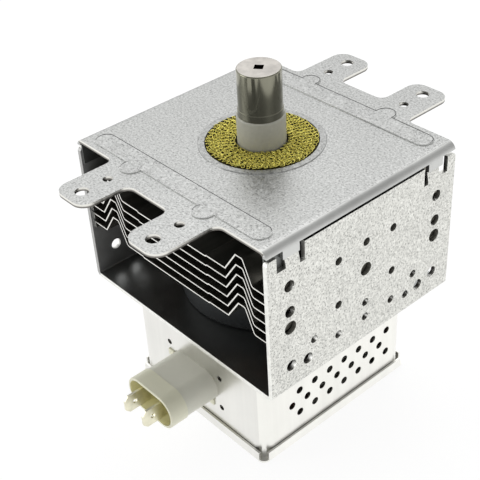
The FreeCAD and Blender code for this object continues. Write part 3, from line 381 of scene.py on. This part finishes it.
def fired_ceramic(name, colour):
    made = Shader(name, colour)
    speckle = made.noise(scale=900, detail=3)
    made.tint(made.spread(speckle, 0.95, 1.03, NOISE_RANGE), colour)
    made.rough(speckle, low=0.4, high=0.55)
    made.bump(speckle, distance=0.01 * MM)
    made.bsdf.inputs["Subsurface Weight"].default_value = 0.15
    made.bsdf.inputs["Subsurface Radius"].default_value = (1 * MM, 1 * MM, 1 * MM)
    return made.material


def moulded_plastic(name, colour):
    made = Shader(name, colour)
    cloud = made.noise(scale=90, detail=3)
    made.tint(made.spread(cloud, 0.95, 1.03, NOISE_RANGE), colour)
    made.rough(made.noise(scale=600, detail=2), low=0.35, high=0.5)
    made.bump(made.noise(scale=500, detail=3), distance=0.02 * MM)
    return made.material


def plain_metal(name, colour, low=0.25, high=0.45, scale=200):
    made = Shader(name, colour, metallic=1.0)
    cloud = made.noise(scale, detail=4)
    made.tint(made.spread(cloud, 0.82, 1.12, NOISE_RANGE), colour)
    made.rough(cloud, low, high)
    made.bump(cloud, distance=0.015 * MM)
    return made.material


def sintered(name, colour):
    """Ferrite: dull, dark and grainy."""
    made = Shader(name, colour)
    grain = made.noise(scale=800, detail=4)
    made.tint(made.spread(grain, 0.7, 1.35, NOISE_RANGE), colour)
    made.rough(grain, low=0.45, high=0.7)
    made.bump(grain, distance=0.03 * MM)
    made.bsdf.inputs["Specular IOR Level"].default_value = 0.3
    return made.material


# Materials

ZINC_PLATE = zinc_sheet("zinc_plate", (0.515, 0.52, 0.51), fleck=0.45, low=0.34, high=0.46)
ZINC_FRAME = zinc_sheet("zinc_frame", (0.745, 0.745, 0.705), fleck=0.5, low=0.40, high=0.52)
# A darker copy of the plate's zinc on the collar round the gasket: painted shade
ZINC_COLLAR_PAINTED_SHADE = zinc_sheet("zinc_collar_painted_shade", (0.44, 0.445, 0.435), fleck=0.45, low=0.34, high=0.46)
# A lighter zinc on the right flange's bend only: painted light
ZINC_BEND_PAINTED_LIGHT = zinc_painted_shade_and_light("zinc_bend_painted_light", (0.60, 0.605, 0.59), low=0.36, high=0.46)
# Darker zinc for the inside of the yoke and the plate's underside: painted shade
INSIDE_ZINC_PAINTED_SHADE = zinc_painted_shade_and_light("inside_zinc_painted_shade", (0.35, 0.358, 0.355), low=0.26, high=0.38)
# The walls' inner faces: darker zinc that is painted shade
INNER_WALL_PAINTED_SHADE = zinc_painted_shade_and_light("inner_wall_painted_shade", (0.38, 0.385, 0.38), low=0.45, high=0.6)
# The turned ends behind the notches: a near-black zinc that is painted shade
FOLD_BACK_PAINTED_SHADE = zinc_painted_shade_and_light("fold_back_painted_shade", (0.17, 0.175, 0.17), low=0.4, high=0.5)
# Pale sides of the beads: painted light, so that they read like the flat sheet
BEAD_SIDE_PAINTED_LIGHT = soft_zinc("bead_side_painted_light", (0.95, 0.96, 0.94))
# Dark wires along the bead edges: painted shadow
PAINTED_SHADOW = plain_metal("painted_shadow", (0.18, 0.18, 0.18), low=0.6, high=0.8, scale=900)
ZINC_EDGE = cut_edge("zinc_edge", (0.86, 0.86, 0.82))
# The left wall's cut rim, darker than the right's: painted shade
LEFT_EDGE_PAINTED_SHADE = cut_edge("left_edge_painted_shade", (0.42, 0.42, 0.41))
# The wall tops in the gap under the flange, near black: painted shade
GAP_EDGE_PAINTED_SHADE = cut_edge("gap_edge_painted_shade", (0.08, 0.08, 0.08))
# The plate's cut edges: the dark lower band is partly tearing, partly painted shade
PLATE_EDGE = punched_edge("plate_edge", (0.82, 0.81, 0.76), torn_and_shade=(0.20, 0.19, 0.175), axis="Z",
                          torn_and_shade_at=PLATE_TORN_AND_SHADE, clean_at=PLATE_CLEAN)
# Walls of the holes: darker towards the inside, partly tearing, partly painted shade
HOLE_WALL = punched_edge("hole_wall", (0.88, 0.88, 0.84), torn_and_shade=(0.30, 0.30, 0.29), axis="X",
                         torn_and_shade_at=WALL_TORN_AND_SHADE, clean_at=FRAME_HIGH.x)
# The fins' flat faces, much darker than bare aluminium: painted shade
FIN_FACE_PAINTED_SHADE = rolled_aluminium("fin_face", (0.20, 0.192, 0.165))
FIN_EDGE = cut_edge("fin_edge", (0.82, 0.81, 0.77))
# Two copies of one tin plate: the ends darker as painted shade, the sides lighter as painted light
TIN_ENDS_PAINTED_SHADE = bright_tin("tin_ends_painted_shade", (0.77, 0.765, 0.73))
TIN_SIDES_PAINTED_LIGHT = bright_tin("tin_sides_painted_light", (0.87, 0.865, 0.82))
# The cap's side, far darker than its top: painted shade standing in for the dark studio it reflects
CAP_SIDE_PAINTED_SHADE = drawn_steel("cap_side_painted_shade", (0.25, 0.245, 0.19))
CAP_TOP = plain_metal("cap_top", (0.56, 0.535, 0.50), low=0.4, high=0.55, scale=400)
ALUMINA = fired_ceramic("alumina", (0.51, 0.505, 0.435))
BOOT_OUTSIDE = moulded_plastic("boot_outside", (0.68, 0.675, 0.585))
BOOT_COLLAR = moulded_plastic("boot_collar", (0.77, 0.76, 0.60))
BOOT_INSIDE = moulded_plastic("boot_inside", (0.90, 0.86, 0.52))
RESIN = moulded_plastic("capacitor_resin", (0.62, 0.57, 0.36))
TINNED = plain_metal("tinned_brass", (0.78, 0.755, 0.60), low=0.3, high=0.45, scale=300)
FERRITE = sintered("ferrite", (0.018, 0.020, 0.021))
COPPER = plain_metal("copper", (0.72, 0.36, 0.24))
SOFT_IRON = plain_metal("soft_iron", (0.42, 0.42, 0.43))
NICKEL = plain_metal("nickel_plate", (0.62, 0.60, 0.56), low=0.2, high=0.35)
TUNGSTEN = plain_metal("tungsten", (0.28, 0.28, 0.29))
ENAMEL = plain_metal("enamelled_wire", (0.45, 0.16, 0.07), low=0.15, high=0.3)
BRASS_SHADOW = plain_metal("brass_shadow", (0.035, 0.028, 0.005), low=0.5, high=0.7, scale=900)
BRASS_WIRE = plain_metal("brass_wire", (0.98, 0.88, 0.22), low=0.25, high=0.4, scale=1200)

# Nodes of one finish all over
PLAIN_NODES = {
    "antenna_ceramic": ALUMINA, "stem_ceramic": ALUMINA, "capacitor_body": RESIN,
    "rf_gasket": BRASS_SHADOW, "upper_magnet": FERRITE, "lower_magnet": FERRITE,
    "left_ferrite_rod": FERRITE, "right_ferrite_rod": FERRITE,
    "left_terminal_tab": TINNED, "right_terminal_tab": TINNED,
    "anode_cylinder": COPPER, "anode_vanes": COPPER, "strap_rings": COPPER,
    "antenna_lead": COPPER, "exhaust_tube": COPPER,
    "upper_pole_piece": SOFT_IRON, "lower_pole_piece": SOFT_IRON,
    "upper_seal_cup": NICKEL, "lower_seal_cup": NICKEL, "capacitor_flange": NICKEL,
    "left_stem_terminal": NICKEL, "right_stem_terminal": NICKEL,
    "filament": TUNGSTEN, "upper_end_hat": TUNGSTEN, "lower_end_hat": TUNGSTEN,
    "centre_lead": TUNGSTEN, "side_lead": TUNGSTEN,
    "left_choke_coil": ENAMEL, "right_choke_coil": ENAMEL,
}


# Finish of each face, by its centre and normal, painted shade and painted light among them


def plate_face(centre, normal):
    """Cut edges are the upright faces that don't belong to the flanges, beads or collar."""
    away = math.hypot(centre.x, centre.y)
    # The underside gets the inside zinc, whose dark colour is painted shade
    if normal.z < -FACING and centre.z < PLATE_UNDERSIDE:
        return INSIDE_ZINC_PAINTED_SHADE
    # The collar gets the darker copy of the plate's zinc: painted shade
    if GASKET_HIGH.x + FACE_MARGIN < away < COLLAR_RADIUS and centre.z > PLATE_RAISED:
        return ZINC_COLLAR_PAINTED_SHADE
    # The upright sides of the beads get the pale colour of painted light
    if centre.z > PLATE_RAISED and abs(normal.z) < FACING_SQUARELY:
        return BEAD_SIDE_PAINTED_LIGHT
    if abs(normal.z) < FACING and abs(centre.x) < FLANGE_INSIDE:
        return PLATE_EDGE
    # The bend of the right flange gets the lighter zinc of painted light
    if centre.x > BEND_START and normal.x > FACING_AT_BEND:
        return ZINC_BEND_PAINTED_LIGHT
    return ZINC_PLATE


def frame_face(centre, normal):
    """Faces that look into the yoke get darker zinc that is painted shade, and the rim all round is
    a cut edge, with painted shade on the left wall's rim and on the wall tops under the flange.
    """
    if abs(normal.y) > FACING and abs(centre.y) > FRAME_HIGH.y - SHEET:
        # The left wall's rim gets the darker edge of painted shade
        return LEFT_EDGE_PAINTED_SHADE if centre.x < -WALL_INSIDE else ZINC_EDGE
    if normal.z > FACING and abs(centre.x) > WALL_INSIDE and centre.z > WALL_TOPS:
        # Wall tops in the middle, under the flange, get the near-black edge of painted shade
        return ZINC_EDGE if abs(centre.y) > WALL_MIDDLE else GAP_EDGE_PAINTED_SHADE
    if centre.z > FLOOR_TOP - FACE_MARGIN and abs(centre.x) < WALL_INSIDE + FACE_MARGIN:
        if normal.x * centre.x < -FACING * abs(centre.x):
            # Inner faces of the walls get the darker zinc of painted shade
            return INNER_WALL_PAINTED_SHADE
        if normal.z > FACING or normal.x * centre.x < 0:
            return INSIDE_ZINC_PAINTED_SHADE
    if abs(normal.x) < FACING and abs(centre.x) > WALL_INSIDE and centre.z > FLOOR_TOP:
        return HOLE_WALL
    return ZINC_FRAME


def fin_face(centre, normal):
    # Flat faces get the dark copy of the aluminium: painted shade
    return FIN_EDGE if abs(normal.y) > FACING_SQUARELY else FIN_FACE_PAINTED_SHADE


def box_face(centre, normal):
    # Faces that look along X get the lighter copy of the tin, the rest the darker one: painted
    # light and shade
    return TIN_SIDES_PAINTED_LIGHT if abs(normal.x) > FACING else TIN_ENDS_PAINTED_SHADE


def cap_face(centre, normal):
    # The side gets the dark copy of the steel: painted shade
    return CAP_TOP if normal.z > FACING_SQUARELY else CAP_SIDE_PAINTED_SHADE


def boot_face(centre, normal):
    """The bore looks towards the middle, and the collar is the end with the mouth."""
    middle = (BOOT_LOW + BOOT_HIGH) / 2
    away = Vector((centre.x - middle.x, 0, centre.z - middle.z))
    if away.dot(normal) < 0 and abs(normal.y) < FACING:
        return BOOT_INSIDE
    return BOOT_COLLAR if centre.y < BOOT_LOW.y + BOOT_COLLAR_LENGTH else BOOT_OUTSIDE


def dress(node, materials, choose=None):
    """Gives a CAD node its materials; choose picks one by each face's centre and normal."""
    mesh = NODES[node].data
    mesh.materials.clear()
    for material in materials:
        mesh.materials.append(material)
    for face in mesh.polygons:
        face.material_index = materials.index(choose(face.center, face.normal)) if choose else 0


def dress_nodes():
    dress("yoke_top",
          [ZINC_PLATE, PLATE_EDGE, INSIDE_ZINC_PAINTED_SHADE, BEAD_SIDE_PAINTED_LIGHT, ZINC_COLLAR_PAINTED_SHADE, ZINC_BEND_PAINTED_LIGHT], plate_face)
    dress("yoke_frame",
          [ZINC_FRAME, ZINC_EDGE, INSIDE_ZINC_PAINTED_SHADE, INNER_WALL_PAINTED_SHADE, HOLE_WALL, LEFT_EDGE_PAINTED_SHADE, GAP_EDGE_PAINTED_SHADE],
          frame_face)
    for number in range(1, FIN_COUNT + 1):
        dress(f"cooling_fin_{number}", [FIN_FACE_PAINTED_SHADE, FIN_EDGE], fin_face)
    dress("filter_box", [TIN_ENDS_PAINTED_SHADE, TIN_SIDES_PAINTED_LIGHT], box_face)
    dress("filter_lid", [TIN_ENDS_PAINTED_SHADE, TIN_SIDES_PAINTED_LIGHT], box_face)
    dress("antenna_cap", [CAP_SIDE_PAINTED_SHADE, CAP_TOP], cap_face)
    dress("capacitor_boot", [BOOT_OUTSIDE, BOOT_INSIDE, BOOT_COLLAR], boot_face)
    for node, material in PLAIN_NODES.items():
        dress(node, [material])


# Pieces that stand on the solids


def new_wires(name, radius, material):
    """An empty curve whose splines are thin wires."""
    curve = bpy.data.curves.new(name, "CURVE")
    curve.dimensions = "3D"
    curve.bevel_depth = radius
    curve.bevel_resolution = 0
    curve.materials.append(material)
    return curve


def add_spline(curve, places):
    spline = curve.splines.new("POLY")
    spline.points.add(len(places) - 1)
    for point, place in zip(spline.points, places):
        point.co = (*place, 1)
    return spline


def arc(centre_x, centre_y, radius, start, end):
    """Places on top of a bead along an arc that turns from one angle to another, in degrees."""
    places = []
    for step in range(PAINTED_SHADOW_STEPS + 1):
        angle = math.radians(start + (end - start) * step / PAINTED_SHADOW_STEPS)
        x = centre_x + radius * math.cos(angle)
        y = centre_y + radius * math.sin(angle)
        places.append((x, y, BEAD_TOP))
    return places


def make_painted_shadows():
    """Painted shadows: fine dark wires that follow the edges of the two beads and their four lobes,
    standing in for the shade at the bead steps.
    """
    end = BEAD_END - BEAD_RADIUS
    middle = (BEAD_INNER + BEAD_OUTER) / 2
    side = middle - BEAD_INNER - PAINTED_SHADOW_INSET
    lobe = LOBE_RADIUS - PAINTED_SHADOW_INSET
    front = arc(-end, -middle, side, FRONT_START, BEAD_SIDE_ANGLE)
    front += arc(end, -middle, side, BEAD_SIDE_ANGLE, FRONT_END)
    back = arc(-end, middle, side, BACK_START, BEAD_SIDE_ANGLE)
    for x in (-LOBE_X, LOBE_X):
        back += arc(x, LOBE_Y, lobe, BACK_LOBE_START, BACK_LOBE_END)
    back += arc(end, middle, side, BEAD_SIDE_ANGLE, BACK_END)
    lines = [front, back]
    for x in (-LOBE_X, LOBE_X):
        lines.append(arc(x, -LOBE_Y, lobe, FRONT_LOBE_START, FRONT_LOBE_END))
    curve = new_wires("bead_painted_shadows", PAINTED_SHADOW_WIDTH / 2, PAINTED_SHADOW)
    for line in lines:
        spline = add_spline(curve, line)
        for index, point in enumerate(spline.points):
            from_tip = min(index, len(line) - 1 - index)
            point.radius = min(1.0, PAINTED_SHADOW_TIP + PAINTED_SHADOW_GROWTH * from_tip)
    painted_shadows = add_object("bead_painted_shadows", curve)
    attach(painted_shadows, "root")


def make_box(name, low, high, material, rounding):
    """A plain block between two corners, with rounded edges."""
    corners = [(x, y, z) for x in (low.x, high.x) for y in (low.y, high.y) for z in (low.z, high.z)]
    mesh = bpy.data.meshes.new(name)
    mesh.from_pydata(corners, [], BOX_SIDES)
    mesh.materials.append(material)
    made = add_object(name, mesh)
    bevel = made.modifiers.new("edges", "BEVEL")
    bevel.width = rounding
    bevel.segments = BEVEL_SEGMENTS
    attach(made, "root")


def make_fold_backs():
    """Two short returns that close the notches from inside, in a near-black zinc that is painted
    shade.
    """
    for name, side in (("left_fold_back", -1), ("right_fold_back", 1)):
        x_low, x_high = sorted((side * FOLD_INNER, side * FOLD_OUTER))
        low = Vector((x_low, FOLD_FRONT, FOLD_LOW))
        high = Vector((x_high, FOLD_END, FOLD_HIGH))
        make_box(name, low, high, FOLD_BACK_PAINTED_SHADE, FOLD_ROUNDING)


def make_boot_lugs():
    """Ends of the boot's flange that are staked through the front of the filter box."""
    for name, (x, z) in BOOT_LUGS.items():
        low = Vector((x - LUG_HALF_WIDTH, BOX_LOW.y - LUG_PROUD, z - LUG_HALF_HEIGHT))
        high = Vector((x + LUG_HALF_WIDTH, BOX_LOW.y + LUG_SUNK, z + LUG_HALF_HEIGHT))
        make_box(name, low, high, BOOT_COLLAR, LUG_ROUNDING)


def make_knit():
    """Rings of interlocked wire loops that lie on the gasket's face."""
    rng = random.Random(KNIT_SEED)
    curve = new_wires("gasket_knit", KNIT_WIRE, BRASS_WIRE)
    inner = GASKET_INNER + KNIT_MARGIN
    outer = GASKET_HIGH.x - KNIT_MARGIN
    step = (outer - inner) / (KNIT_ROWS - 1)
    for row in range(KNIT_ROWS):
        radius = inner + step * row
        stitches = round(2 * math.pi * radius / KNIT_STITCH)
        start = rng.random() * math.tau
        places = []
        for stitch in range(stitches):
            reach = step * rng.uniform(*LOOP_REACH)
            lift = rng.uniform(*LOOP_LIFT)
            centre = min(max(radius + step * rng.uniform(*LOOP_SHIFT), inner), outer)
            bulge = rng.uniform(*LOOP_BULGE)
            for part in range(KNIT_POINTS):
                phase = math.tau * part / KNIT_POINTS
                turn = (stitch + part / KNIT_POINTS + bulge * math.sin(phase * 2)) / stitches
                angle = start + math.tau * turn
                here = centre + reach * math.cos(phase)
                height = GASKET_HIGH.z + KNIT_HEIGHT + lift * math.sin(phase)
                places.append((here * math.cos(angle), here * math.sin(angle), height))
        spline = add_spline(curve, places)
        spline.use_cyclic_u = True
    knit = add_object("gasket_knit", curve)
    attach(knit, "root")


# Studio


def make_floor():
    """A pale floor that is partly plain white and keeps the part's shadow."""
    mesh = bpy.data.meshes.new("studio_floor")
    corners = [(-FLOOR_HALF, -FLOOR_HALF), (FLOOR_HALF, -FLOOR_HALF), (FLOOR_HALF, FLOOR_HALF),
               (-FLOOR_HALF, FLOOR_HALF)]
    mesh.from_pydata([(x, y, LID_LOW.z) for x, y in corners], [], [(0, 1, 2, 3)])
    floor = add_object("studio_floor", mesh)
    material = bpy.data.materials.new("studio_floor")
    material.use_nodes = True
    tree = material.node_tree
    bsdf = tree.nodes["Principled BSDF"]
    bsdf.inputs["Base Color"].default_value = (*FLOOR_COLOUR, 1)
    bsdf.inputs["Roughness"].default_value = FLOOR_ROUGHNESS
    white = add_node(tree, "ShaderNodeEmission")
    white.inputs["Strength"].default_value = FLOOR_WHITE
    path = add_node(tree, "ShaderNodeLightPath")
    share = add_node(tree, "ShaderNodeMath", operation="MULTIPLY_ADD")
    share.inputs[1].default_value = FLOOR_WHITE_SEEN - FLOOR_WHITE_MIRRORED
    share.inputs[2].default_value = FLOOR_WHITE_MIRRORED
    tree.links.new(path.outputs["Is Camera Ray"], share.inputs[0])
    mix = add_node(tree, "ShaderNodeMixShader")
    tree.links.new(share.outputs["Value"], mix.inputs["Fac"])
    tree.links.new(bsdf.outputs["BSDF"], mix.inputs[1])
    tree.links.new(white.outputs["Emission"], mix.inputs[2])
    tree.links.new(mix.outputs["Shader"], tree.nodes["Material Output"].inputs["Surface"])
    mesh.materials.append(material)


# Darker regions of the studio: direction, inner and outer half angle, and level there
DARK_REGIONS = (
    (toward(22, 32), 32, 62, 0.3),
    (toward(131, 42), 14, 48, 0.45),
)


def make_world():
    """White behind the part and soft light from all round, with darker regions in it."""
    world = bpy.data.worlds.new("studio_world")
    bpy.context.scene.world = world
    world.use_nodes = True
    tree = world.node_tree
    background = tree.nodes["Background"]
    path = add_node(tree, "ShaderNodeLightPath")
    direction = add_node(tree, "ShaderNodeTexCoord")
    level = None
    for centre, inner, outer, share in DARK_REGIONS:
        facing = add_node(tree, "ShaderNodeVectorMath", operation="DOT_PRODUCT")
        facing.inputs[1].default_value = centre
        tree.links.new(direction.outputs["Generated"], facing.inputs[0])
        dark = add_node(tree, "ShaderNodeMapRange", interpolation_type="SMOOTHSTEP")
        dark.inputs["From Min"].default_value = math.cos(math.radians(outer))
        dark.inputs["From Max"].default_value = math.cos(math.radians(inner))
        dark.inputs["To Min"].default_value = 1.0
        dark.inputs["To Max"].default_value = share
        tree.links.new(facing.outputs["Value"], dark.inputs["Value"])
        product = add_node(tree, "ShaderNodeMath", operation="MULTIPLY")
        product.inputs[0].default_value = WORLD_LEVEL
        if level:
            tree.links.new(level, product.inputs[0])
        tree.links.new(dark.outputs["Result"], product.inputs[1])
        level = product.outputs["Value"]
    mix = add_node(tree, "ShaderNodeMix", data_type="FLOAT")
    mix.inputs["B"].default_value = 1.0
    tree.links.new(path.outputs["Is Camera Ray"], mix.inputs["Factor"])
    tree.links.new(level, mix.inputs["A"])
    tree.links.new(mix.outputs["Result"], background.inputs["Strength"])
    background.inputs["Color"].default_value = (1, 1, 1, 1)


def make_light(name, place, target, size):
    """A square softbox that looks from its place to the target."""
    data = bpy.data.lights.new(name, "AREA")
    data.shape = "SQUARE"
    data.size = size
    data.energy = LIGHT_POWER
    light = add_object(name, data)
    light.location = place
    light.rotation_euler = (Vector(target) - Vector(place)).to_track_quat("-Z", "Y").to_euler()


def make_camera():
    roll = math.radians(CAMERA_ROLL)
    back = toward(CAMERA_AZIMUTH, CAMERA_ELEVATION)
    level = toward(CAMERA_AZIMUTH + 90, 0)
    upward = back.cross(level)
    right = level * math.cos(roll) + upward * math.sin(roll)
    up = upward * math.cos(roll) - level * math.sin(roll)
    data = bpy.data.cameras.new("photo_camera")
    data.sensor_width = SENSOR_WIDTH
    data.lens = FOCAL_LENGTH
    data.clip_start = CAMERA_NEAREST
    camera = add_object("photo_camera", data)
    turn = Matrix((right, up, back)).transposed().to_4x4()
    camera.matrix_world = Matrix.Translation(CAMERA_PLACE) @ turn
    bpy.context.scene.camera = camera


dress_nodes()
make_painted_shadows()
make_fold_backs()
make_boot_lugs()
make_knit()
make_floor()
make_world()
make_light("left_softbox", place=(-0.55, -0.75, 0.2), target=(0, 0, -0.05), size=0.6)
make_light("top_softbox", place=(-0.3, 0.3, 0.8), target=(0, 0, 0), size=0.9)
make_camera()

bpy.context.scene.view_settings.view_transform = "Standard"
